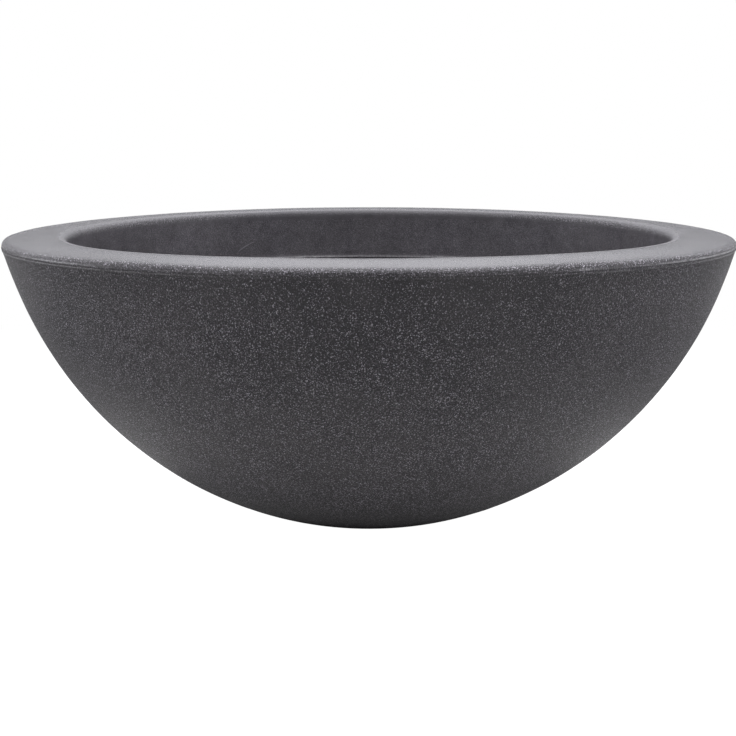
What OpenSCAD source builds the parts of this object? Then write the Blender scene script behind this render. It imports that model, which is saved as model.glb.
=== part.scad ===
// Low round bowl planter with a wide flat rim.
// A thin shell carries a rim ring that is bonded on at the widest diameter.
// The ring turns down inside the bowl as a skirt with a free lower edge.
// A lift-out stopper closes the drain hole, and four pads stand the bowl on the floor.
// Origin: on the floor, at the centre of the footprint. +Z is up. All sizes in mm.

/* [Bowl] */
// Outer diameter of the rim, the widest place on the planter
outer_d = 600; // [580:2:630]
// Overall height, from the floor to the rim's ledge
total_h = 240; // [232:1:250]
// Outer diameter of the shell half way up its curve
belly_d = 489; // [484:1:494]
// Diameter of the flat underside
foot_d = 146; // [132:1:150]
// Shell thickness, square to its surface
wall_t = 12; // [10:0.5:13]
// Floor thickness over the flat underside
floor_t = 16; // [15:0.5:20]

/* [Rim] */
// Width of the flat ledge with both of its rounded edges
ledge_w = 52.5; // [50:0.5:58]
// Height of the upright outer band, from the seam up to the ledge
band_h = 8; // [7:0.5:9]
// Rounding of the outer top edge
outer_round = 5; // [3:0.5:6.5]
// Rounding of the inner lip
lip_round = 5; // [4:0.5:8]
// Thickness of the ledge plate
ledge_t = 12; // [11:0.5:14]
// Thickness of the return skirt
skirt_t = 9; // [8:0.5:11]
// Depth of the return skirt, from the ledge down to its free edge
skirt_h = 47.5; // [40:0.5:54]
// How far the shell stands inside the rim's outer face at the seam
seam_step = 0.5; // [0.3:0.1:0.8]

/* [Drain] */
// Diameter of the drain hole
drain_d = 26; // [24:1:30]
// Radial clearance of the stopper's sealing ribs in the drain hole
plug_gap = 0.08; // [0.04:0.01:0.1]
// Diameter of the stopper's flange
flange_d = 44; // [40:1:50]
// Thickness of the stopper's flange at its edge
flange_t = 3.5; // [3:0.5:5]
// Length of the grip bar on the stopper
grip_l = 24; // [18:1:28]
// Diameter of the grip bar
grip_d = 8; // [7:0.5:10]
// Diameter of the drip recess under the drain hole
recess_d = 68; // [60:1:70]
// Depth of the drip recess
recess_h = 4; // [3:0.5:5]

/* [Floor pads] */
// Diameter of a pad
pad_d = 18; // [14:1:20]
// How far a pad stands out under the foot
pad_proud = 3; // [2:0.5:4]
// How deep a pad sits in its pocket
pad_sunk = 2; // [1.5:0.5:3]
// Radius of the circle that the pads stand on
pad_ring_r = 50; // [48:0.5:50]

/* [Hidden] */
$fn = 96;

foot_z = pad_proud;                 // the shell's underside
seam_z = total_h - band_h;          // the joint line between shell and rim ring
shell_h = seam_z - foot_z;          // height of the curved shell
rim_r = outer_d / 2;
shell_r = rim_r - seam_step;        // the shell's outer radius at the seam
foot_r = foot_d / 2;
belly_r = belly_d / 2;
drain_r = drain_d / 2;
floor_z = foot_z + floor_t;         // the flat floor inside the bowl
mouth_r = rim_r - ledge_w;          // the skirt's inner face
steps = 30;                         // facets along the shell's curve
pad_count = 4;

// The outer curve is part of an ellipse: the radius squared is a quadratic in
// height, fixed by the foot, belly and seam radii.
curve_p = pow(shell_r, 2) - pow(foot_r, 2);
curve_q = pow(belly_r, 2) - pow(foot_r, 2);
curve_b = 4 * curve_q - curve_p;
curve_c = 2 * curve_p - 4 * curve_q;

function rise(z) = (z - foot_z) / shell_h;
function out_r(z) = sqrt(pow(foot_r, 2) + curve_b * rise(z) + curve_c * pow(rise(z), 2));
function flare(z) = (curve_b + 2 * curve_c * rise(z)) / (2 * out_r(z) * shell_h);
function square_to(z) = sqrt(1 + pow(flare(z), 2));

// The inner curve lies wall_t inside the outer one, measured square to it.
function in_r(z) = out_r(z) - wall_t / square_to(z);
function in_z(z) = z + wall_t * flare(z) / square_to(z);

// The outer height whose inner point lies at the height asked for.
function outer_z_for(goal, lo, hi, k = 40) =
    k == 0 ? (lo + hi) / 2 :
    in_z((lo + hi) / 2) < goal ? outer_z_for(goal, (lo + hi) / 2, hi, k - 1)
                               : outer_z_for(goal, lo, (lo + hi) / 2, k - 1);
function inner_r_at(z) = in_r(outer_z_for(z, foot_z, seam_z));

// Points of an arc about (x, z), from angle a to angle b.
function arc(x, z, r, a, b, n = 8) =
    [for (i = [0:n]) [x + r * cos(a + (b - a) * i / n), z + r * sin(a + (b - a) * i / n)]];

outer_curve = [for (i = [0:steps])
    let (z = foot_z + shell_h * pow(i / steps, 1.6)) [out_r(z), z]];

inner_from = outer_z_for(floor_z, foot_z, seam_z);
inner_to = outer_z_for(seam_z, foot_z, seam_z);
inner_curve = [for (i = [steps:-1:0])
    let (z = inner_from + (inner_to - inner_from) * pow(i / steps, 1.4)) [in_r(z), in_z(z)]];

// The ring's lower step drops inside the shell's mouth and centres the ring.
step_z = total_h - ledge_t;
step_r = inner_r_at(step_z) - 0.6;

// Thin shell: curved wall, flat floor, drip recess, drain hole and pad pockets
module bowl_body() {
    color([0.27, 0.265, 0.28])
    difference() {
        rotate_extrude()
            polygon(concat(
                [[drain_r, foot_z + recess_h],
                 [recess_d / 2 - recess_h, foot_z + recess_h],
                 [recess_d / 2, foot_z]],
                outer_curve,
                inner_curve,
                [[drain_r, floor_z]]));
        for (i = [0:pad_count - 1])
            rotate(45 + i * 360 / pad_count)
                translate([pad_ring_r, 0, foot_z - 1])
                    cylinder(d = pad_d + 0.3, h = pad_sunk + 1);
    }
}

// Rim ring: outer band, flat ledge, rounded lip and return skirt
module rim_cap() {
    color([0.42, 0.42, 0.435])
    rotate_extrude()
        polygon(concat(
            [[rim_r, seam_z]],
            arc(rim_r - outer_round, total_h - outer_round, outer_round, 0, 90),
            arc(mouth_r + lip_round, total_h - lip_round, lip_round, 90, 180),
            arc(mouth_r + 2, total_h - skirt_h + 2, 2, 180, 270, 4),
            arc(mouth_r + skirt_t - 2, total_h - skirt_h + 2, 2, 270, 360, 4),
            arc(mouth_r + skirt_t + 6, step_z - 6, 6, 180, 90, 4),
            [[step_r - 2, step_z], [step_r, step_z + 2], [step_r, seam_z]]));
}

// Rubber stopper: tapered tip, two sealing ribs, domed flange and grip
module drain_plug() {
    rib_r = drain_r - plug_gap;
    core_r = drain_r - 1.1;
    top_z = floor_z + flange_t;
    tip_z = foot_z + recess_h + 0.5;
    color([0.13, 0.13, 0.135])
    union() {
        rotate_extrude()
            polygon([
                [0, tip_z], [core_r - 1.6, tip_z], [core_r - 0.4, tip_z + 1.6],
                [rib_r, tip_z + 3.2], [rib_r, tip_z + 4.6], [core_r, tip_z + 5.6],
                [core_r, floor_z - 3.6], [rib_r, floor_z - 2.6], [rib_r, floor_z],
                [flange_d / 2 - 1, floor_z], [flange_d / 2, floor_z + 1],
                [flange_d / 2, top_z - 1.2], [flange_d / 2 - 1.2, top_z],
                [flange_d / 2 - 6, top_z + 0.8], [flange_d / 2 - 12, top_z + 1.6], [0, top_z + 1.6]]);
        // neck
        translate([-grip_l / 2 + 2, -2.5, top_z])
            cube([grip_l - 4, 5, 14]);
        // grip bar
        translate([0, 0, top_z + 15])
            rotate([0, 90, 0])
                cylinder(d = grip_d, h = grip_l, center = true);
    }
}

// Rubber pads, set in the pockets of the foot
module foot_pads() {
    color([0.1, 0.1, 0.1])
    for (i = [0:pad_count - 1])
        rotate(45 + i * 360 / pad_count)
            translate([pad_ring_r, 0, 0])
                rotate_extrude()
                    polygon([[0, 0], [pad_d / 2 - 0.8, 0], [pad_d / 2, 0.8],
                             [pad_d / 2, pad_proud + pad_sunk], [0, pad_proud + pad_sunk]]);
}

bowl_body();
rim_cap();
drain_plug();
foot_pads();
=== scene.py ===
import math

import bmesh
import bpy
import numpy as np
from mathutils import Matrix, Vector, noise


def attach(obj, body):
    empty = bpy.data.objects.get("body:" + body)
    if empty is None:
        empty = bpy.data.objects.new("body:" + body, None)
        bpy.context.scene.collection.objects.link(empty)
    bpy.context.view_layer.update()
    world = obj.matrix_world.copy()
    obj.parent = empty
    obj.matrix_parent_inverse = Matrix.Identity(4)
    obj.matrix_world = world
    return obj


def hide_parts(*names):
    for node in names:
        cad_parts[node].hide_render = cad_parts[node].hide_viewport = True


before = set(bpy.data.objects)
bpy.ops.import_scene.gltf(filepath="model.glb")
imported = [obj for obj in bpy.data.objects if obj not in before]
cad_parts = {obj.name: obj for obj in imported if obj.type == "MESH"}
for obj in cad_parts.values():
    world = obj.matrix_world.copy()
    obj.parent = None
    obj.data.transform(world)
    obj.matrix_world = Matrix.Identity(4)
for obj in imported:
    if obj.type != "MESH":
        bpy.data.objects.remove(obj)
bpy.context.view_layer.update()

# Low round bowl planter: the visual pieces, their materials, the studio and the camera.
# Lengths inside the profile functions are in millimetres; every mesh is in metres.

scene = bpy.context.scene
scene.view_settings.view_transform = "Standard"
MM = 0.001

# ---------------------------------------------------------------- camera

FOCAL_PX, PITCH, CAM_D, CAM_Z, CAM_X = 1757.3, 8.936, 1.45987, 0.35314, -0.00083
cam = bpy.data.cameras.new("camera")
cam_obj = bpy.data.objects.new("camera", cam)
scene.collection.objects.link(cam_obj)
cam.sensor_width = 36
cam.lens = FOCAL_PX / 736 * 36
cam.clip_start, cam.clip_end = 0.05, 200
cam_obj.location = (CAM_X, -CAM_D, CAM_Z)
cam_obj.rotation_euler = (math.radians(90 - PITCH), 0, 0)
scene.camera = cam_obj

# ---------------------------------------------------------------- sizes, in mm, as in the model's source

FOOT_Z, SEAM_Z, TOP_Z = 3.0, 232.0, 240.0
RIM_R, SHELL_R, BELLY_R, FOOT_R, MOUTH_R = 300.0, 299.5, 244.5, 73.0, 247.5
WALL, FLOOR_Z, DRAIN_R = 12.0, 19.0, 13.0
RECESS_R, RECESS_H = 34.0, 4.0
PAD_R, PAD_RING, PAD_SUNK = 9.0, 50.0, 2.0
SHELL_H = SEAM_Z - FOOT_Z
CP, CQ = SHELL_R**2 - FOOT_R**2, BELLY_R**2 - FOOT_R**2
CB, CC = 4 * CQ - CP, 2 * CP - 4 * CQ


def out_r(z):
    u = (z - FOOT_Z) / SHELL_H
    return np.sqrt(FOOT_R**2 + CB * u + CC * u * u)


def flare(z):
    u = (z - FOOT_Z) / SHELL_H
    return (CB + 2 * CC * u) / (2 * out_r(z) * SHELL_H)


def inner_points(n=1200):
    """The inner wall, WALL inside the outer one, from the floor up to the seam's height."""
    z = np.linspace(FOOT_Z + 0.5, SEAM_Z, n)
    f = flare(z)
    s = np.sqrt(1 + f * f)
    r, zz = out_r(z) - WALL / s, z + WALL * f / s
    keep = (zz >= FLOOR_Z) & (zz <= SEAM_Z)
    return np.stack([r[keep], zz[keep]], 1)


def arc(cx, cz, r, a, b, n=24, rz=None):
    t = np.radians(np.linspace(a, b, n))
    return np.stack([cx + r * np.cos(t), cz + (rz or r) * np.sin(t)], 1)


def dense(points, step=0.2):
    """A closed polyline resampled at even steps."""
    p = np.vstack([points, points[:1]])
    d = np.hypot(*np.diff(p, axis=0).T)
    p = p[np.r_[True, d > 1e-7]]
    s = np.r_[0, np.cumsum(np.hypot(*np.diff(p, axis=0).T))]
    n = int(s[-1] / step)
    q = np.arange(n) * s[-1] / n
    return np.stack([np.interp(q, s, p[:, 0]), np.interp(q, s, p[:, 1])], 1)


def soften(points, sigma):
    """Rounds a closed even polyline's corners. sigma is in samples, one value for each point."""
    out = np.zeros_like(points)
    weight = np.zeros(len(points))
    reach = int(np.ceil(3 * sigma.max()))
    s2 = np.maximum(sigma, 0.05) ** 2
    for k in range(-reach, reach + 1):
        w = np.exp(-0.5 * k * k / s2)
        out += w[:, None] * np.roll(points, -k, 0)
        weight += w
    return out / weight[:, None]


def thin(points, count, extra=None):
    """A closed even polyline cut down to count points, closer together where it bends or where extra says so."""
    d1 = points - np.roll(points, 1, 0)
    d2 = np.roll(points, -1, 0) - points
    turn = np.abs(np.arctan2(d1[:, 0] * d2[:, 1] - d1[:, 1] * d2[:, 0], (d1 * d2).sum(1)))
    k = np.ones(9) / 9
    turn = np.convolve(np.r_[turn[-4:], turn, turn[:4]], k, "valid")
    length = np.hypot(*d2.T)
    weight = length * (1 + (0 if extra is None else extra)) + 26 * turn
    s = np.r_[0, np.cumsum(weight)]
    q = np.arange(count) * s[-1] / count
    p = np.vstack([points, points[:1]])
    return np.stack([np.interp(q, s, p[:, 0]), np.interp(q, s, p[:, 1])], 1)


def waves(t, seed, lows, amp=1.0):
    """A smooth value round the bowl made of a few whole waves, about -amp to amp."""
    rng = np.random.RandomState(seed)
    v = np.zeros_like(t)
    norm = 0.0
    for k in lows:
        a = rng.uniform(0.5, 1.0) / math.sqrt(len(lows))
        v += a * np.cos(k * t + rng.uniform(0, 2 * math.pi))
        norm += a * a / 2
    return amp * v / math.sqrt(norm) / 1.8


def bump_at(t, centre, width):
    """A smooth hump round the bowl at an angle in degrees. 0 is the front, and positive is to the right."""
    d = (t - math.radians(centre) + math.pi) % (2 * math.pi) - math.pi
    return np.exp(-0.5 * (d / math.radians(width)) ** 2)


def revolve(name, profile, segments, warp):
    """A closed profile turned about the axis. warp(r, z, t) gives the moved r and z in mm, and the marks stored on each vertex."""
    n = len(profile)
    t = (np.arange(segments) / segments * 2 * math.pi)[:, None] + np.zeros((1, n))
    r = profile[None, :, 0] + np.zeros((segments, 1))
    z = profile[None, :, 1] + np.zeros((segments, 1))
    r2, z2, marks = warp(r, z, t)
    co = np.stack([r2 * np.sin(t), -r2 * np.cos(t), z2], -1).reshape(-1, 3) * MM
    j, i = np.meshgrid(np.arange(segments), np.arange(n), indexing="ij")
    j2, i2 = (j + 1) % segments, (i + 1) % n
    quads = np.stack([j * n + i, j2 * n + i, j2 * n + i2, j * n + i2], -1).reshape(-1, 4)
    area = 0.5 * np.sum(profile[:, 0] * np.roll(profile[:, 1], -1) - np.roll(profile[:, 0], -1) * profile[:, 1])
    if area > 0:
        quads = quads[:, ::-1]
    mesh = bpy.data.meshes.new(name)
    mesh.vertices.add(len(co))
    mesh.vertices.foreach_set("co", co.astype(np.float32).ravel())
    mesh.loops.add(quads.size)
    mesh.loops.foreach_set("vertex_index", np.ascontiguousarray(quads, dtype=np.int32).ravel())
    mesh.polygons.add(len(quads))
    mesh.polygons.foreach_set("loop_start", np.arange(0, quads.size, 4, dtype=np.int32))
    mesh.update(calc_edges=True)
    mesh.validate()
    for key, value in marks.items():
        a = mesh.attributes.new(key, "FLOAT", "POINT")
        a.data.foreach_set("value", value.astype(np.float32).ravel())
    obj = bpy.data.objects.new(name, mesh)
    scene.collection.objects.link(obj)
    mesh.shade_smooth()
    return obj


def cloud(r, z, t, scale, seed, octaves=3):
    """Smooth noise at each vertex of a revolved grid, about -1 to 1, with features 1/scale millimetres across."""
    x, y = r * np.sin(t), -r * np.cos(t)
    off = Vector((seed * 7.13, seed * 3.71, seed * 1.37))
    f = noise.fractal
    flat = [
        f(Vector((a * scale, b * scale, c * scale)) + off, 0.6, 2.0, octaves)
        for a, b, c in zip(x.ravel(), y.ravel(), z.ravel())
    ]
    return np.array(flat).reshape(r.shape)


def step(a, b, x):
    u = np.clip((x - a) / (b - a), 0, 1)
    return u * u * (3 - 2 * u)


# ---------------------------------------------------------------- bowl shell

inner = inner_points()
zz = np.linspace(SEAM_Z, FOOT_Z, 1500)
outer = np.stack([out_r(zz), zz], 1)
shell_path = np.vstack([
    [[DRAIN_R, FLOOR_Z]], inner, [[inner[-1, 0], SEAM_Z]], outer,
    [[RECESS_R, FOOT_Z], [RECESS_R - RECESS_H, FOOT_Z + RECESS_H], [DRAIN_R, FOOT_Z + RECESS_H]],
])
shell_even = dense(shell_path)
er, ez = shell_even.T
round_by = np.full(len(shell_even), 3.2)                               # 0.6 mm at the cut edges
round_by = np.where((np.abs(ez - SEAM_Z) < 3) & (er > 290), 0.7, round_by)
cove = (ez < 60) & (er > 60) & (ez > 15)
round_by = np.where(cove, 3.2 + 30 * np.exp(-0.5 * ((er - inner[0, 0]) / 14) ** 2), round_by)
round_by = np.where((ez < 12) & (er > 45), 3.2 + 14 * np.exp(-0.5 * ((er - FOOT_R) / 7) ** 2), round_by)
shell_even = soften(shell_even, round_by)
er, ez = shell_even.T
want = 9.0 * np.exp(-0.5 * ((ez - 230.8) / 1.3) ** 2) * (er > 290)
shell_prof = thin(shell_even, 208, want)


def flash_main(t):
    """How far the thin flash stands out along the seam, 0 to 1, patchy as it is after trimming."""
    base = 0.08 + 0.06 * waves(t, 11, [3, 5, 8, 13])
    patch = 0.5 + 0.5 * waves(t, 12, [41, 57, 73, 97, 131])
    a = base
    a = a + 1.00 * bump_at(t, -49, 4.5) + 0.50 * bump_at(t, -58, 7) + 0.15 * bump_at(t, -30, 10)
    a = a + 0.55 * bump_at(t, 30.5, 2.0) + 0.95 * bump_at(t, 63, 10) + 0.30 * bump_at(t, 47, 8)
    a = a + 0.50 * bump_at(t, 128, 14) + 0.55 * bump_at(t, -142, 18) + 0.35 * bump_at(t, 171, 9)
    a = a * (1 - 0.75 * bump_at(t, 2, 13)) * (1 - 0.8 * bump_at(t, -82, 8))
    return np.clip(a * (0.62 + 0.55 * patch), 0, 1)


def flash_second(t):
    """The fainter second line just under the seam."""
    patch = 0.5 + 0.5 * waves(t, 22, [37, 61, 83, 113])
    a = 0.12 + 0.85 * bump_at(t, -50, 6) + 0.85 * bump_at(t, -65, 9) + 0.45 * bump_at(t, -33, 8) + 1.0 * bump_at(t, 66, 9) + 0.35 * bump_at(t, 35, 6) + 0.4 * bump_at(t, -148, 9) + 0.3 * bump_at(t, 120, 8)
    return np.clip(a * (0.55 + 0.65 * patch), 0, 1)


def second_z(t):
    """The height of the second line, which runs lower towards the two sides."""
    side = np.abs(np.sin(t))
    return 230.4 - 0.5 * step(0.90, 0.99, side)


def seam_sag(t):
    """How far the joint line lies under its nominal height. It is lowest at the two sides, the left most."""
    return np.sin(t) ** 2 * (1.10 - 0.55 * np.sin(t)) + 0.05


def shell_warp(r, z, t):
    wall_out = out_r(np.clip(z, FOOT_Z, SEAM_Z))
    outside = (r > wall_out - 3.0).astype(float)
    n1 = cloud(r, z, t, 0.011, 3, 2)
    n2 = cloud(r, z, t, 0.045, 5, 2)
    hold = step(3.5, 20, z) * (1 - step(222, 231, z)) + (1 - outside) * 0.35 * step(FLOOR_Z + 1, 40, z)
    hold = np.clip(hold, 0, 1)
    dr = hold * (-0.30 + 0.30 * n1 + 0.09 * n2)
    bead = np.exp(-0.5 * ((z - second_z(t)) / (0.26 + 0.10 * bump_at(t, 68, 12))) ** 2) * (r > 297.0)
    second = flash_second(t)
    dr = dr + 0.25 * (r > 295) * step(228.3, 230.4, z) + 0.34 * second * bead
    # the hand-trowelled floor is not quite level
    dz = np.where((np.abs(z - FLOOR_Z) < 1.5) & (r < 120), 0.22 * n1 * step(26, 45, r), 0.0)
    # the pale mark on the second flash line is partly its rubbed colour and partly a painted highlight; the foot's pale
    # mark is wear
    rub_and_glint = np.clip(second * bead * 1.1, 0, 1)
    foot = (1 - step(3.2, 7.0, z)) * (r > 40)
    dz = dz - seam_sag(t) * step(196, 227, z)
    return r + dr, z + dz, {"rub_and_glint": rub_and_glint + 0.25 * foot * (z < 8), "inside": (1 - outside) * (z > FLOOR_Z - 1.5)}


shell = revolve("bowl_shell", shell_prof, 460, shell_warp)

# pockets for the four pads, cut into the underside
bm = bmesh.new()
for k in range(4):
    a = math.radians(45 + 90 * k)
    ring = []
    for r, z in ((0.0, FOOT_Z + PAD_SUNK), (PAD_R + 0.15, FOOT_Z + PAD_SUNK), (PAD_R + 0.15, FOOT_Z + 0.35), (PAD_R + 0.75, FOOT_Z - 0.25), (PAD_R + 0.75, FOOT_Z - 2.0), (0.0, FOOT_Z - 2.0)):
        if r == 0:
            ring.append([bm.verts.new((PAD_RING * math.cos(a) * MM, PAD_RING * math.sin(a) * MM, z * MM))])
        else:
            ring.append([bm.verts.new(((PAD_RING * math.cos(a) + r * math.cos(2 * math.pi * j / 64)) * MM, (PAD_RING * math.sin(a) + r * math.sin(2 * math.pi * j / 64)) * MM, z * MM)) for j in range(64)])
    for a_ring, b_ring in zip(ring[:-1], ring[1:]):
        for j in range(64):
            j2 = (j + 1) % 64
            if len(a_ring) == 1:
                bm.faces.new((a_ring[0], b_ring[j], b_ring[j2]))
            elif len(b_ring) == 1:
                bm.faces.new((a_ring[j], b_ring[0], a_ring[j2]))
            else:
                bm.faces.new((a_ring[j], b_ring[j], b_ring[j2], a_ring[j2]))
bmesh.ops.recalc_face_normals(bm, faces=bm.faces)
cut_mesh = bpy.data.meshes.new("pocket_cut")
bm.to_mesh(cut_mesh)
bm.free()
cutter = bpy.data.objects.new("pocket_cut", cut_mesh)
scene.collection.objects.link(cutter)


def apply_modifiers(obj):
    dg = bpy.context.evaluated_depsgraph_get()
    done = bpy.data.meshes.new_from_object(obj.evaluated_get(dg), preserve_all_data_layers=True, depsgraph=dg)
    old = obj.data
    obj.modifiers.clear()
    obj.data = done
    bpy.data.meshes.remove(old)


m = shell.modifiers.new("pockets", "BOOLEAN")
m.operation, m.object, m.solver = "DIFFERENCE", cutter, "EXACT"
apply_modifiers(shell)
bpy.data.objects.remove(cutter)
shell.data.name = "bowl_shell"
shell.data.shade_smooth()
shell.data.set_sharp_from_angle(angle=math.radians(38))

# ---------------------------------------------------------------- rim ring

LIP, SKIRT_T, SKIRT_Z, EDGE = 5.0, 9.0, 192.5, 4.0
STEP_Z = 228.0
step_r = float(np.interp(STEP_Z, inner[:, 1], inner[:, 0])) - 0.6
rim_path = np.vstack([
    [[299.25, SEAM_Z + 0.03], [299.4, SEAM_Z + 0.2]],
    arc(299.45 - EDGE, 240 - EDGE, EDGE, 0, 90, 40),
    arc(MOUTH_R + LIP, 240 - LIP, LIP, 90, 180, 40),
    arc(MOUTH_R + 2, SKIRT_Z + 2, 2, 180, 270, 16),
    arc(MOUTH_R + SKIRT_T - 2, SKIRT_Z + 2, 2, 270, 360, 16),
    arc(MOUTH_R + SKIRT_T + 6, STEP_Z - 6, 6, 180, 90, 20),
    [[step_r - 1.5, STEP_Z], [step_r, STEP_Z + 1.5], [step_r, SEAM_Z + 0.05]],
])
rim_even = dense(rim_path)
rim_even = soften(rim_even, np.where(rim_even[:, 0] > 298, 0.6, 1.6))
er, ez = rim_even.T
want = 11.0 * np.exp(-0.5 * ((ez - 232.5) / 0.7) ** 2) * (er > 290) + 3.0 * (ez > 234) * (er > 290) + 2.0 * (ez < 200)
want = want + 7.0 * np.exp(-0.5 * ((ez - 194.7) / 1.0) ** 2) * (er < 250)
rim_prof = thin(rim_even, 138, want)


LIP_DROP, EDGE_DROP = (1.56, 0.0, -1.50, -0.68, 0.0, 0.0), (2.69, 0.92, -1.31, -0.03, 0.0, 0.0)


def sag(t, c):
    """How far the casting lies under its nominal 240 mm, as a few slow waves round the bowl."""
    v = c[0] + c[1] * np.cos(t) + c[2] * np.cos(2 * t) + c[3] * np.sin(t) + c[4] * np.sin(2 * t) + c[5] * np.cos(3 * t)
    return np.maximum(v, 0.05)




def rim_warp(r, z, t):
    w_in = 1 - step(257, 295.4, r)
    g = np.clip((z - SKIRT_Z) / 40.0, 0, 1)
    drop_in = (-sag(t, LIP_DROP) + 0.8 * bump_at(t, -90, 16) + 1.1 * bump_at(t, -128, 20) + 0.8 * bump_at(t, 121, 13)) * g
    # the lip rolls over more slowly at the far left and right
    roll = 0.8 * bump_at(t, -126, 18) + 0.8 * bump_at(t, 120, 13)
    drop_in = np.minimum(drop_in, -0.15 * g) - roll * np.clip((268 - r) / 17, 0, 1) ** 2 * g
    z_edge = 240 - sag(t, EDGE_DROP) - 0.8 * bump_at(t, -57, 9) - 0.3 * bump_at(t, 53, 9) - 0.5 * bump_at(t, -19, 6) - 0.4 * bump_at(t, 12, 5) + 0.5 * bump_at(t, 29, 5)
    z_joint = SEAM_Z + 0.9 - seam_sag(t) + 1.35 * bump_at(t, 0, 34)
    drop_out = np.where(z > 234, z_edge - 240, -seam_sag(t) * step(276, 284, r))
    z2 = z + w_in * drop_in + (1 - w_in) * drop_out
    # the outer edge is rounded over its whole height, from the joint up to the ledge, and narrower at the sides
    wide = 5.0 - 1.8 * np.sin(t) ** 2
    on_edge = (r > 290) & (z > SEAM_Z + 0.9)
    lift = np.clip((z - (SEAM_Z + 0.9)) / (240 - EDGE - SEAM_Z - 0.9), 0, 1)
    turn = np.arctan2(np.maximum(z - (240 - EDGE), 0), np.maximum(r - (299.45 - EDGE), 1e-6))
    turn = np.where(r <= 299.45 - EDGE, math.pi / 2, turn)
    turn = np.where(z < 240 - EDGE, 0.0, turn)
    share = 0.16 * lift + 0.84 * turn / (math.pi / 2)
    angle = share * math.pi / 2
    edge_r = 299.45 - wide + wide * np.cos(angle)
    edge_z = z_joint + (z_edge - z_joint) * np.sin(angle)
    flat_r = 290 + (r - 290) * (9.45 - wide) / (9.45 - EDGE)
    near_edge = on_edge & (turn < math.pi / 2)
    r_new = np.where(near_edge, edge_r, np.where(on_edge, flat_r, r))
    z2 = np.where(near_edge, edge_z, z2)
    n1 = cloud(r, z, t, 0.020, 8, 2)
    n2 = cloud(r, z, t, 0.060, 9, 2)
    top = step(234, 238, z)
    z2 = z2 + top * (0.06 * n1 + 0.045 * n2) - 0.10 * top
    # the mouth is a little out of round
    skirt = (1 - step(258, 276, r)) * step(SKIRT_Z - 2, SKIRT_Z + 8, z)
    dr = skirt * (0.25 * waves(t, 31, [1, 2, 3]) + 0.10 * n1)
    a = flash_main(t)
    bead = np.exp(-0.5 * ((z - 232.5) / (0.28 + 0.14 * bump_at(t, 68, 12))) ** 2) * (r > 297)
    dr = dr + bead * (0.50 * a - 0.08)
    out = r > 290
    dr = dr + out * (1 - bead) * step(233.2, 236, z) * (-0.10 + 0.10 * n2)
    # a low burr on the skirt's free edge
    fray = np.clip(0.25 + 0.6 * waves(t, 41, [5, 9, 14, 23]) + 0.5 * waves(t, 42, [61, 89, 127]), 0, 1)
    burr = np.exp(-0.5 * ((z - (SKIRT_Z + 2.1)) / 0.75) ** 2) * (r < MOUTH_R + 2.2)
    dr = dr - burr * (0.45 + 0.35 * fray)
    # the pale mark on the flash bead and the burr is partly rubbed colour and partly a painted highlight of the raised
    # edge catching the light
    rub_and_glint = np.clip(bead * a * (1.25 + 0.5 * bump_at(t, 66, 12)), 0, 1) + np.clip(burr * (0.55 + 0.45 * fray), 0, 1)
    height = step(SEAM_Z, TOP_Z, z)
    return r_new + dr, z2, {"rub_and_glint": rub_and_glint, "height": height, "inside": ((r < MOUTH_R + 1.5) & (z < 235)).astype(float)}


rim = revolve("rim_ring", rim_prof, 720, rim_warp)

# ---------------------------------------------------------------- drain stopper


def solid_of_revolution(bm, profile, segments=128, centre=(0, 0)):
    rings = []
    for r, z in profile:
        if r <= 1e-9:
            rings.append([bm.verts.new((centre[0] * MM, centre[1] * MM, z * MM))])
        else:
            rings.append([bm.verts.new(((centre[0] + r * math.cos(2 * math.pi * k / segments)) * MM, (centre[1] + r * math.sin(2 * math.pi * k / segments)) * MM, z * MM)) for k in range(segments)])
    for a, b in zip(rings[:-1], rings[1:]):
        for k in range(segments):
            k2 = (k + 1) % segments
            if len(a) == 1:
                bm.faces.new((a[0], b[k], b[k2]))
            elif len(b) == 1:
                bm.faces.new((a[k], b[0], a[k2]))
            else:
                bm.faces.new((a[k], b[k], b[k2], a[k2]))


def finish_mesh(bm, name):
    bmesh.ops.recalc_face_normals(bm, faces=bm.faces)
    mesh = bpy.data.meshes.new(name)
    bm.to_mesh(mesh)
    bm.free()
    obj = bpy.data.objects.new(name, mesh)
    scene.collection.objects.link(obj)
    return obj


RIB_R, CORE_R, TIP_Z, FL_R, FL_TOP = 12.92, 11.9, 7.5, 22.0, 22.5
bm = bmesh.new()
solid_of_revolution(bm, [
    (0, TIP_Z), (CORE_R - 1.6, TIP_Z), (CORE_R - 0.4, TIP_Z + 1.6),
    (RIB_R, TIP_Z + 3.2), (RIB_R, TIP_Z + 4.6), (CORE_R, TIP_Z + 5.6),
    (CORE_R, FLOOR_Z - 3.6), (RIB_R, FLOOR_Z - 2.6), (RIB_R, FLOOR_Z + 0.05),
    (FL_R - 1.0, FLOOR_Z + 0.05), (FL_R, FLOOR_Z + 1.0), (FL_R, FL_TOP - 1.2), (FL_R - 1.2, FL_TOP),
    (FL_R - 6, FL_TOP + 0.8), (FL_R - 12, FL_TOP + 1.6), (0, FL_TOP + 1.75),
])
body = finish_mesh(bm, "stopper_body")
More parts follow.
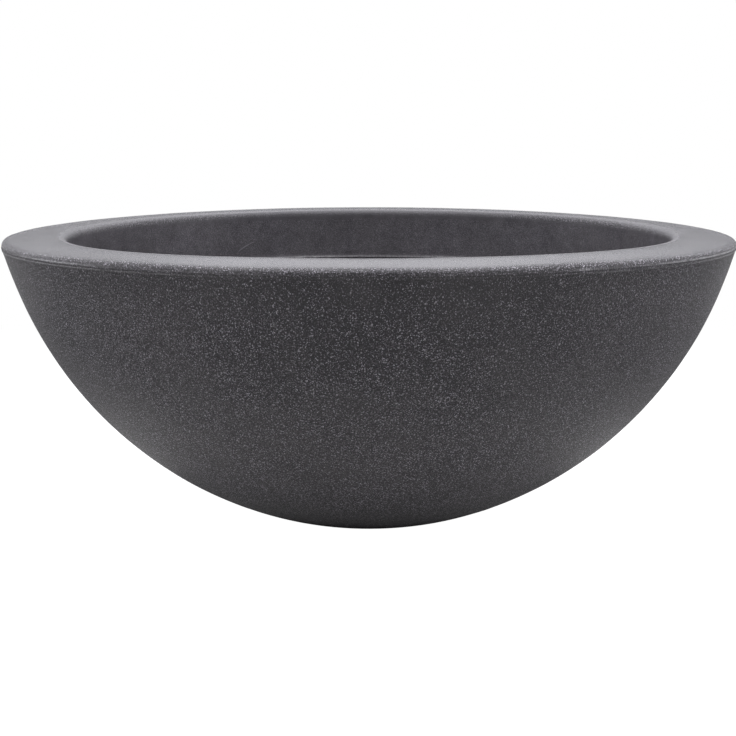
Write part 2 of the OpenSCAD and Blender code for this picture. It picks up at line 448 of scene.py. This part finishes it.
# neck, waisted towards the grip
bm = bmesh.new()
rows = []
for k in range(17):
    u = k / 16
    z = FL_TOP + 0.6 + u * 15.0
    flare_out = 2.6 * (1 - min(u / 0.30, 1)) ** 2
    half_x = 9.6 + flare_out * 0.0 - 0.9 * math.sin(math.pi * u)
    half_y = 2.2 + 1.7 * (1 - min(u / 0.28, 1)) ** 2 + 0.9 * max((u - 0.72) / 0.28, 0) ** 2
    rows.append([bm.verts.new(((half_x * math.copysign(abs(math.cos(a)) ** 0.55, math.cos(a))) * MM, (half_y * math.copysign(abs(math.sin(a)) ** 0.75, math.sin(a))) * MM, z * MM)) for a in [2 * math.pi * j / 64 for j in range(64)]])
for a, b in zip(rows[:-1], rows[1:]):
    for j in range(64):
        bm.faces.new((a[j], b[j], b[(j + 1) % 64], a[(j + 1) % 64]))
bm.faces.new(rows[0]); bm.faces.new(list(reversed(rows[-1])))
neck = finish_mesh(bm, "stopper_neck")
# grip bar with rounded ends
bm = bmesh.new()
rows = []
GRIP_Z, GRIP_R, GRIP_L = 37.5, 4.0, 24.0
for k in range(97):
    u = -1 + 2 * k / 96
    x = u * GRIP_L / 2
    end = GRIP_L / 2 - abs(x)
    rr = GRIP_R - 0.08 if end > 2.2 else (GRIP_R - 0.08) - 2.2 * (1 - math.sqrt(max(0.0, 1 - ((2.2 - end) / 2.2) ** 2)))
    rr = max(rr, 0.6)
    rows.append([bm.verts.new((x * MM, rr * math.cos(2 * math.pi * j / 64) * MM, (GRIP_Z + rr * math.sin(2 * math.pi * j / 64)) * MM)) for j in range(64)])
for a, b in zip(rows[:-1], rows[1:]):
    for j in range(64):
        bm.faces.new((a[j], b[j], b[(j + 1) % 64], a[(j + 1) % 64]))
bm.faces.new(rows[0]); bm.faces.new(list(reversed(rows[-1])))
grip = finish_mesh(bm, "stopper_grip")
for other in (neck, grip):
    m = body.modifiers.new("join", "BOOLEAN")
    m.operation, m.object, m.solver = "UNION", other, "EXACT"
    apply_modifiers(body)
    bpy.data.objects.remove(other)
m = body.modifiers.new("skin", "REMESH")
m.mode, m.voxel_size, m.adaptivity = "VOXEL", 0.00042, 0.0
apply_modifiers(body)
m = body.modifiers.new("melt", "SMOOTH")
m.factor, m.iterations = 0.5, 5
apply_modifiers(body)
plug = body
plug.name = "drain_stopper"
plug.data.name = "drain_stopper"
plug.data.shade_smooth()

# ---------------------------------------------------------------- floor pads

bm = bmesh.new()
for k in range(4):
    a = math.radians(45 + 90 * k)
    c = (PAD_RING * math.cos(a), PAD_RING * math.sin(a))
    top = FOOT_Z + PAD_SUNK - 0.02
    prof = [(0, 0.25), (4.6, 0.25), (5.2, 0.18), (5.6, 0.02), (6.0, 0.0)]
    prof += [tuple(p) for p in arc(PAD_R - 1.2 - 0.02, 1.2, 1.2, -90, 0, 8)]
    prof += [(PAD_R - 0.02, FOOT_Z + 0.1), (PAD_R - 0.06, top - 0.2), (PAD_R - 0.3, top), (0, top)]
    solid_of_revolution(bm, prof, 72, c)
pads = finish_mesh(bm, "floor_pads")
pads.data.shade_smooth()
pads.data.set_sharp_from_angle(angle=math.radians(50))

# ---------------------------------------------------------------- materials


class Nodes:
    """Short ways to build a material's nodes."""

    def __init__(self, name):
        self.mat = bpy.data.materials.new(name)
        self.mat.use_nodes = True
        self.tree = self.mat.node_tree
        self.tree.nodes.clear()
        self.out = self.tree.nodes.new("ShaderNodeOutputMaterial")
        self.bsdf = self.tree.nodes.new("ShaderNodeBsdfPrincipled")
        self.tree.links.new(self.bsdf.outputs[0], self.out.inputs[0])
        tc = self.tree.nodes.new("ShaderNodeTexCoord")
        self.co = tc.outputs["Object"]

    def put(self, socket, value):
        if isinstance(value, bpy.types.NodeSocket):
            self.tree.links.new(value, socket)
        else:
            socket.default_value = value

    def math(self, op, a, b=0.0, c=0.0, clamp=False):
        n = self.tree.nodes.new("ShaderNodeMath")
        n.operation, n.use_clamp = op, clamp
        self.put(n.inputs[0], a)
        self.put(n.inputs[1], b)
        self.put(n.inputs[2], c)
        return n.outputs[0]

    def noise(self, scale, detail=2.0, rough=0.5, distort=0.0, vec=None, shift=0.0, colour=False):
        n = self.tree.nodes.new("ShaderNodeTexNoise")
        v = vec if vec is not None else self.co
        if shift:
            v = self.vadd(v, (shift, shift * 1.7, shift * 0.6))
        self.put(n.inputs["Vector"], v)
        self.put(n.inputs["Scale"], scale)
        self.put(n.inputs["Detail"], detail)
        self.put(n.inputs["Roughness"], rough)
        self.put(n.inputs["Distortion"], distort)
        return n.outputs["Color" if colour else "Fac"]

    def cells(self, scale, feature="F1", random=1.0, out="Distance", vec=None, smooth=0.0):
        n = self.tree.nodes.new("ShaderNodeTexVoronoi")
        n.feature = feature
        self.put(n.inputs["Vector"], vec if vec is not None else self.co)
        self.put(n.inputs["Scale"], scale)
        self.put(n.inputs["Randomness"], random)
        if feature == "SMOOTH_F1":
            self.put(n.inputs["Smoothness"], smooth)
        return n.outputs[out], n

    def vadd(self, a, b):
        n = self.tree.nodes.new("ShaderNodeVectorMath")
        n.operation = "ADD"
        self.put(n.inputs[0], a)
        self.put(n.inputs[1], b)
        return n.outputs[0]

    def vscale(self, a, b):
        n = self.tree.nodes.new("ShaderNodeVectorMath")
        n.operation = "MULTIPLY"
        self.put(n.inputs[0], a)
        self.put(n.inputs[1], b)
        return n.outputs[0]

    def split(self, vec):
        n = self.tree.nodes.new("ShaderNodeSeparateXYZ")
        self.put(n.inputs[0], vec)
        return n.outputs[0], n.outputs[1], n.outputs[2]

    def range(self, value, a, b, lo=0.0, hi=1.0, smooth=False):
        n = self.tree.nodes.new("ShaderNodeMapRange")
        if smooth:
            n.interpolation_type = "SMOOTHSTEP"
        self.put(n.inputs["Value"], value)
        for key, v in (("From Min", a), ("From Max", b), ("To Min", lo), ("To Max", hi)):
            self.put(n.inputs[key], v)
        return n.outputs["Result"]

    def mix(self, fac, a, b, kind="RGBA", blend="MIX"):
        n = self.tree.nodes.new("ShaderNodeMix")
        n.data_type = kind
        if kind == "RGBA":
            n.blend_type = blend
            ia, ib, io = n.inputs[6], n.inputs[7], n.outputs[2]
        else:
            ia, ib, io = n.inputs[2], n.inputs[3], n.outputs[0]
        self.put(n.inputs[0], fac)
        self.put(ia, a)
        self.put(ib, b)
        return io

    def attribute(self, name):
        n = self.tree.nodes.new("ShaderNodeAttribute")
        n.attribute_name = name
        return n.outputs["Fac"]

    def bump(self, height, distance, strength=1.0, normal=None):
        n = self.tree.nodes.new("ShaderNodeBump")
        n.inputs["Distance"].default_value = distance
        self.put(n.inputs["Strength"], strength)
        self.put(n.inputs["Height"], height)
        if normal is not None:
            self.put(n.inputs["Normal"], normal)
        return n.outputs[0]


def grey(v, tint=(1.02, 0.96, 1.06)):
    return (v * tint[0], v * tint[1], v * tint[2], 1.0)


# the concrete's grain: features to the metre, bump depth in metres, share of the tone, dark and pale albedo
GRAIN, DEPTH, TONE, DARK, PALE, CURVE = 1020.0, 0.00045, 2.6, 0.030, 1.00, 2.3
ROUGH_BODY, ROUGH_LEDGE = 0.38, 0.19


def concrete(name, is_rim):
    """Through-coloured charcoal concrete with a fine raised grain."""
    k = Nodes(name)
    x, y, z = k.split(k.co)
    rr = k.math("SQRT", k.math("ADD", k.math("MULTIPLY", x, x), k.math("MULTIPLY", y, y)))
    inside = k.attribute("inside")
    rub_and_glint = k.attribute("rub_and_glint")

    # where the grain is strong: full on the curved outside, less on the ledge, least inside
    grain_amount = k.range(inside, 0, 1, 1.0, 0.22)
    if is_rim:
        high = k.attribute("height")
        smooth = k.math("MAXIMUM", k.math("MULTIPLY", k.range(high, 0.60, 0.97, 0, 1, True), k.range(rr, 0.2503, 0.2560, 0, 1, True)), k.math("MULTIPLY", k.range(high, 0.10, 0.50, 0, 1, True), k.range(rr, 0.280, 0.290, 0, 1, True)))
        ledge = k.math("MULTIPLY", k.range(high, 0.0, 0.15, 0, 1, True), k.range(rr, 0.2975, 0.2915, 0, 1, True))
        # the rolled lip has the full grain again, behind the two sides
        lip = k.math("MULTIPLY", k.range(rr, 0.2640, 0.2540, 0, 1, True), k.range(k.math("ABSOLUTE", x), 0.10, 0.17, 0, 1, True))
        lip = k.math("MULTIPLY", lip, k.range(y, -0.03, 0.05, 0, 1, True))
        smooth = k.math("MULTIPLY", smooth, k.range(lip, 0, 1, 1, 0.1))
        ledge = k.math("MULTIPLY", ledge, k.range(lip, 0, 1, 1, 0.45))
        grain_amount = k.math("MULTIPLY", grain_amount, k.range(ledge, 0, 1, 1.0, 0.17))
    else:
        low = k.math("MULTIPLY", k.range(z, 0.0, 0.04, 0.75, 1.0, True), k.range(z, 0.13, 0.09, 1.0, 1.22, True))
        middle = k.math("MULTIPLY", k.range(k.math("ABSOLUTE", x), 0.16, 0.05, 0, 1, True), k.range(z, 0.09, 0.13, 0, 1, True))
        grain_amount = k.math("MULTIPLY", grain_amount, k.math("MULTIPLY", low, k.range(middle, 0, 1, 1.0, 1.24)))

    # grain: short curled ridges, dots and pits, 1 to 2.5 mm across
    warp = k.vadd(k.co, k.vscale(k.noise(GRAIN * 0.6, 1.0, 0.5, colour=True, shift=3.1), (0.0009, 0.0009, 0.0009)))
    worms = k.noise(GRAIN, 1.5, 0.6, 0.25, vec=warp)
    dots, _ = k.cells(GRAIN * 0.95, "F1", 1.0, vec=warp)
    grit = k.noise(GRAIN * 2.1, 1.0, 0.6, shift=5.7)
    worm_up = k.range(worms, 0.40, 0.66, 0, 1, True)
    dot_up = k.range(dots, 0.60, 0.08, 0, 1, True)
    height = k.math("ADD", k.math("MULTIPLY", worm_up, 0.58), k.math("MULTIPLY", dot_up, 0.42))
    height = k.math("ADD", height, k.math("MULTIPLY", k.math("SUBTRACT", grit, 0.5), 0.45))

    # sparse pale sand grains
    _, vor = k.cells(420, "F1", 1.0, vec=k.vadd(k.co, (0.31, 0.12, 0.44)))
    pick = k.split(vor.outputs["Color"])[0]
    near = k.range(vor.outputs["Distance"], 0.34, 0.18, 0, 1, True)
    speck = k.math("MULTIPLY", k.math("GREATER_THAN", pick, 0.93), near)

    # clouds of slightly different tone, from the mix and the mould
    big = k.noise(7.5, 3.0, 0.55, 0.6, shift=1.3)
    mid = k.noise(46, 3.0, 0.6, 0.3, shift=2.9)
    fine = k.noise(210, 2.0, 0.55, shift=4.4)
    tone = k.math("ADD", k.range(big, 0.3, 0.7, -0.07, 0.07), k.range(mid, 0.3, 0.7, -0.06, 0.06))
    tone = k.math("ADD", tone, k.range(fine, 0.3, 0.7, -0.05, 0.05))
    mottle = k.noise(115, 2.0, 0.5, shift=6.3)
    tone = k.math("ADD", tone, k.math("MULTIPLY", inside, k.range(mottle, 0.3, 0.7, -0.07, 0.07)))
    tone = k.math("ADD", tone, k.math("MULTIPLY", k.math("SUBTRACT", height, 0.40), k.math("MULTIPLY", grain_amount, TONE)))
    tone = k.math("ADD", tone, k.range(grain_amount, 0, 1, 0.18, 0))
    if is_rim:
        tone = k.math("SUBTRACT", tone, k.math("MULTIPLY", ledge, 0.10))
    else:
        # painted shade: one broad darker patch across the front, stronger towards the joint
        painted_front_shade = k.math("MULTIPLY", k.range(k.math("ABSOLUTE", k.math("SUBTRACT", x, 0.02)), 0.20, 0.04, 0, 1, True), k.range(y, -0.10, -0.20, 0, 1, True))
        painted_front_shade = k.math("MULTIPLY", painted_front_shade, k.range(z, 0.10, 0.215, 0.25, 1, True))
        tone = k.math("SUBTRACT", tone, k.math("MULTIPLY", painted_front_shade, k.range(inside, 0, 1, 0.38, 0)))
        # painted highlight: paler at both sides, outside only
        tone = k.math("ADD", tone, k.math("MULTIPLY", k.range(k.math("ABSOLUTE", x), 0.17, 0.25, 0, 1, True), k.range(inside, 0, 1, 0.06, 0)))
        # painted shade: a little darker under the joint, and outside only
        painted_shade_under_rim = k.math("MULTIPLY", k.range(z, 0.196, 0.226, 0, 1, True), k.range(inside, 0, 1, 0.15, 0))
        tone = k.math("SUBTRACT", tone, painted_shade_under_rim)
    level = k.math("POWER", k.range(tone, -0.6, 1.8, 0, 1), CURVE)
    base = k.mix(level, grey(DARK), grey(PALE))
    # warm and cool drift
    drift = k.noise(19, 2.0, 0.5, shift=7.7)
    base = k.mix(k.range(drift, 0.35, 0.65, 0.0, 0.20, True), base, (0.104, 0.097, 0.098, 1), "RGBA")
    base = k.mix(k.math("MULTIPLY", speck, k.math("MULTIPLY", grain_amount, 0.75)), base, grey(0.40))
    # rubbed flash and burrs are paler and broken up, partly their own whitened colour and partly a painted highlight
    # where the raised lines catch the light; the worn foot is paler too
    broken = k.range(k.noise(800, 2.0, 0.6, shift=9.1), 0.34, 0.60, 0.25, 1.0, True)
    pale_and_glint = k.math("MULTIPLY", rub_and_glint, broken, clamp=True)
    base = k.mix(k.math("MULTIPLY", pale_and_glint, 0.88), base, grey(0.50, (1.0, 0.985, 1.0)))

    if is_rim:
        # one faint hairline scratch on the skirt, where a tool was drawn across it
        dx = k.math("SUBTRACT", x, -0.0937)
        dz = k.math("SUBTRACT", z, 0.1663)
        dist = k.math("SQRT", k.math("ADD", k.math("MULTIPLY", dx, dx), k.math("MULTIPLY", dz, dz)))
        line = k.range(k.math("ABSOLUTE", k.math("SUBTRACT", dist, 0.0475)), 0.00045, 0.00012, 0, 1, True)
        window = k.math("MULTIPLY", k.range(x, -0.1265, -0.1225, 0, 1, True), k.range(x, -0.1085, -0.1115, 0, 1, True))
        window = k.math("MULTIPLY", window, k.math("GREATER_THAN", y, 0.15))
        scratch = k.math("MULTIPLY", line, window)
        base = k.mix(k.math("MULTIPLY", scratch, 0.8), base, grey(0.26))

    k.put(k.bsdf.inputs["Base Color"], base)
    rough = k.math("ADD", k.range(height, 0, 1, ROUGH_BODY + 0.04, ROUGH_BODY - 0.04), k.range(mid, 0.3, 0.7, -0.03, 0.03))
    if is_rim:
        rough = k.math("SUBTRACT", rough, k.math("MULTIPLY", smooth, ROUGH_BODY - ROUGH_LEDGE))
    k.put(k.bsdf.inputs["Roughness"], rough)
    k.bsdf.inputs["IOR"].default_value = 1.52
    k.bsdf.inputs["Specular IOR Level"].default_value = 0.5

    total = k.math("MULTIPLY", height, grain_amount)
    total = k.math("ADD", total, k.math("MULTIPLY", speck, k.math("MULTIPLY", grain_amount, 0.35)))
    fine_n = k.bump(total, DEPTH)
    soft = 0.6 if not is_rim else k.range(smooth, 0, 1, 0.6, 0.25)
    swell = k.bump(k.math("ADD", mid, k.math("MULTIPLY", fine, 0.25)), 0.0006, soft, fine_n)
    k.put(k.bsdf.inputs["Normal"], swell)
    return k.mat


def rubber(name, base_lo, base_hi, rough, scale, seed):
    """Black moulded rubber: a fine matt skin with a little bloom and scuffing."""
    k = Nodes(name)
    skin = k.noise(scale, 2.0, 0.55, shift=seed)
    bloom = k.noise(95, 3.0, 0.6, 0.4, shift=seed + 1)
    scuff = k.noise(420, 3.0, 0.65, 1.2, vec=k.vscale(k.co, (1.0, 0.35, 1.0)), shift=seed + 2)
    c = k.mix(k.range(bloom, 0.38, 0.66, 0, 1, True), base_lo, base_hi)
    c = k.mix(k.range(scuff, 0.62, 0.74, 0, 0.35, True), c, (0.075, 0.073, 0.07, 1))
    k.put(k.bsdf.inputs["Base Color"], c)
    k.put(k.bsdf.inputs["Roughness"], k.math("ADD", k.range(bloom, 0.3, 0.7, rough - 0.05, rough + 0.07), k.range(scuff, 0.6, 0.75, 0, 0.08)))
    k.bsdf.inputs["IOR"].default_value = 1.5
    n = k.bump(skin, 0.00012, 0.7)
    k.put(k.bsdf.inputs["Normal"], k.bump(scuff, 0.00008, 0.5, n))
    return k.mat


mat_shell = concrete("charcoal_concrete_shell", False)
mat_rim = concrete("charcoal_concrete_rim", True)
mat_plug = rubber("black_rubber_stopper", (0.012, 0.012, 0.0125, 1), (0.026, 0.026, 0.027, 1), 0.52, 1500, 0.7)
mat_pad = rubber("black_rubber_pad", (0.010, 0.010, 0.010, 1), (0.020, 0.020, 0.020, 1), 0.62, 1100, 2.3)

for obj, mat, body_name, node_name, slot_name in (
    (shell, mat_shell, "bowl", "bowl_body", "shell_concrete"),
    (rim, mat_rim, "bowl", "rim_cap", "rim_concrete"),
    (plug, mat_plug, "plug", "drain_plug", "plug_rubber"),
    (pads, mat_pad, "bowl", "foot_pads", "pad_rubber"),
):
    obj.data.materials.clear()
    obj.data.materials.append(mat)
    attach(obj, body_name)
    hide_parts(node_name)

# ---------------------------------------------------------------- studio

bm = bmesh.new()
FLOOR_R = [0.0, 0.25, 0.5, 1.0, 2.0, 4.0, 8.0, 16.0, 40.0]
rings = [[bm.verts.new((0, 0, 0))]]
for r in FLOOR_R[1:]:
    rings.append([bm.verts.new((r * math.cos(2 * math.pi * j / 48), r * math.sin(2 * math.pi * j / 48), 0)) for j in range(48)])
for a, b in zip(rings[:-1], rings[1:]):
    for j in range(48):
        j2 = (j + 1) % 48
        if len(a) == 1:
            bm.faces.new((a[0], b[j], b[j2]))
        else:
            bm.faces.new((a[j], b[j], b[j2], a[j2]))
floor_mesh = bpy.data.meshes.new("studio_floor")
bm.to_mesh(floor_mesh)
bm.free()
floor = bpy.data.objects.new("studio_floor", floor_mesh)
scene.collection.objects.link(floor)
f = Nodes("studio_floor")
fx, fy, fz = f.split(f.co)
fr = f.math("SQRT", f.math("ADD", f.math("MULTIPLY", fx, fx), f.math("MULTIPLY", fy, fy)))


def floor_layer(albedo, glow):
    """A diffuse floor with an even or a ring-shaped glow added to it."""
    d = f.tree.nodes.new("ShaderNodeBsdfDiffuse")
    d.inputs["Color"].default_value = (albedo, albedo, albedo, 1)
    e = f.tree.nodes.new("ShaderNodeEmission")
    e.inputs["Color"].default_value = (1, 1, 1, 1)
    f.put(e.inputs["Strength"], glow)
    n = f.tree.nodes.new("ShaderNodeAddShader")
    f.tree.links.new(d.outputs[0], n.inputs[0])
    f.tree.links.new(e.outputs[0], n.inputs[1])
    return n.outputs[0]


# what the floor sends back to the bowl, ring by ring, and what the camera sees of it
RING_R, RING_GLOW = (0.10, 0.20, 0.32, 0.50, 0.90), (0.115, 0.52, 0.17, 0.07, 0.40)
stairs = [f.range(fr, e * 0.85, e * 1.15, 0, 1, True) for e in RING_R]
ring_glow = 0.0
for k, g in enumerate(RING_GLOW):
    if g:
        ring_glow = f.math("ADD", ring_glow, f.math("MULTIPLY", f.math("SUBTRACT", stairs[k], stairs[k + 1] if k < 4 else 0.0), g))
bounce = floor_layer(0.10, ring_glow)
seen_near = floor_layer(0.20, 1.02)
white = f.tree.nodes.new("ShaderNodeEmission")
white.inputs["Color"].default_value = (1, 1, 1, 1)
white.inputs["Strength"].default_value = 1.0
seen = f.tree.nodes.new("ShaderNodeMixShader")
f.put(seen.inputs[0], f.range(fr, 0.5, 1.3, 0, 1, True))
f.tree.links.new(seen_near, seen.inputs[1])
f.tree.links.new(white.outputs[0], seen.inputs[2])
ray = f.tree.nodes.new("ShaderNodeLightPath")
either = f.tree.nodes.new("ShaderNodeMixShader")
f.put(either.inputs[0], ray.outputs["Is Camera Ray"])
f.tree.links.new(bounce, either.inputs[1])
f.tree.links.new(seen.outputs[0], either.inputs[2])
geo = f.tree.nodes.new("ShaderNodeNewGeometry")
clear = f.tree.nodes.new("ShaderNodeBsdfTransparent")
under = f.tree.nodes.new("ShaderNodeMixShader")
f.put(under.inputs[0], geo.outputs["Backfacing"])
f.tree.links.new(either.outputs[0], under.inputs[1])
f.tree.links.new(clear.outputs[0], under.inputs[2])
f.tree.links.new(under.outputs[0], f.out.inputs[0])
f.tree.nodes.remove(f.bsdf)
floor.data.materials.append(f.mat)

world = bpy.data.worlds.new("studio")
scene.world = world
world.use_nodes = True
wt = world.node_tree
wt.nodes.clear()
wo = wt.nodes.new("ShaderNodeOutputWorld")
w_cam = wt.nodes.new("ShaderNodeBackground")
w_cam.inputs[0].default_value = (1, 1, 1, 1)
w_cam.inputs[1].default_value = 1.0
w_lit = wt.nodes.new("ShaderNodeBackground")
w_mix = wt.nodes.new("ShaderNodeMixShader")
lp = wt.nodes.new("ShaderNodeLightPath")
wt.links.new(lp.outputs["Is Camera Ray"], w_mix.inputs[0])
wt.links.new(w_lit.outputs[0], w_mix.inputs[1])
wt.links.new(w_cam.outputs[0], w_mix.inputs[2])
wt.links.new(w_mix.outputs[0], wo.inputs[0])
wc = wt.nodes.new("ShaderNodeTexCoord")
ws = wt.nodes.new("ShaderNodeSeparateXYZ")
wt.links.new(wc.outputs["Generated"], ws.inputs[0])


def wrange(value, a, b, lo, hi):
    n = wt.nodes.new("ShaderNodeMapRange")
    n.interpolation_type = "SMOOTHSTEP"
    wt.links.new(value, n.inputs["Value"])
    for key, v in (("From Min", a), ("From Max", b), ("To Min", lo), ("To Max", hi)):
        n.inputs[key].default_value = v
    return n.outputs["Result"]


def wmath(op, a, b):
    n = wt.nodes.new("ShaderNodeMath")
    n.operation = op
    for s, v in zip(n.inputs, (a, b)):
        if isinstance(v, bpy.types.NodeSocket):
            wt.links.new(v, s)
        else:
            s.default_value = v
    return n.outputs[0]


# soft boxes all round, as bands by height (the sine of elevation) and by side: behind, back, sides, camera side
wx, wy, wz = ws.outputs
flat = wmath("SQRT", wmath("ADD", wmath("MULTIPLY", wx, wx), wmath("MULTIPLY", wy, wy)), 0.0)
head = wmath("DIVIDE", wy, wmath("MAXIMUM", flat, 1e-4))
up0, up1, up2 = wrange(wz, 0.10, 0.22, 0, 1), wrange(wz, 0.35, 0.55, 0, 1), wrange(wz, 0.65, 0.85, 0, 1)
back, camera_side = wrange(head, 0.05, 0.6, 0, 1), wrange(head, -0.6, -0.05, 1, 0)
behind = wrange(head, 0.90, 0.985, 0, 1)
low_band, mid_band, high_band = wmath("SUBTRACT", 1.0, up0), wmath("SUBTRACT", up0, up1), wmath("SUBTRACT", up1, up2)
sides = wmath("SUBTRACT", wmath("SUBTRACT", 1.0, back), camera_side)
wide = wmath("SUBTRACT", back, behind)
LIGHT = (
    (low_band, ((behind, 0.12), (wide, 0.80), (sides, 0.80), (camera_side, 0.0))),
    (mid_band, ((behind, 1.31), (wide, 0.84), (sides, 2.10), (camera_side, 1.33))),
    (high_band, ((behind, 1.90), (wide, 1.17), (sides, 1.50), (camera_side, 0.10))),
)
sky = wmath("MULTIPLY", up2, 2.50)
for band, parts in LIGHT:
    row = 0.0
    for part, strength in parts:
        if strength:
            row = wmath("ADD", row, wmath("MULTIPLY", part, strength))
    sky = wmath("ADD", sky, wmath("MULTIPLY", band, row))
wt.links.new(sky, w_lit.inputs[1])
w_lit.inputs[0].default_value = (0.985, 0.985, 1.03, 1)
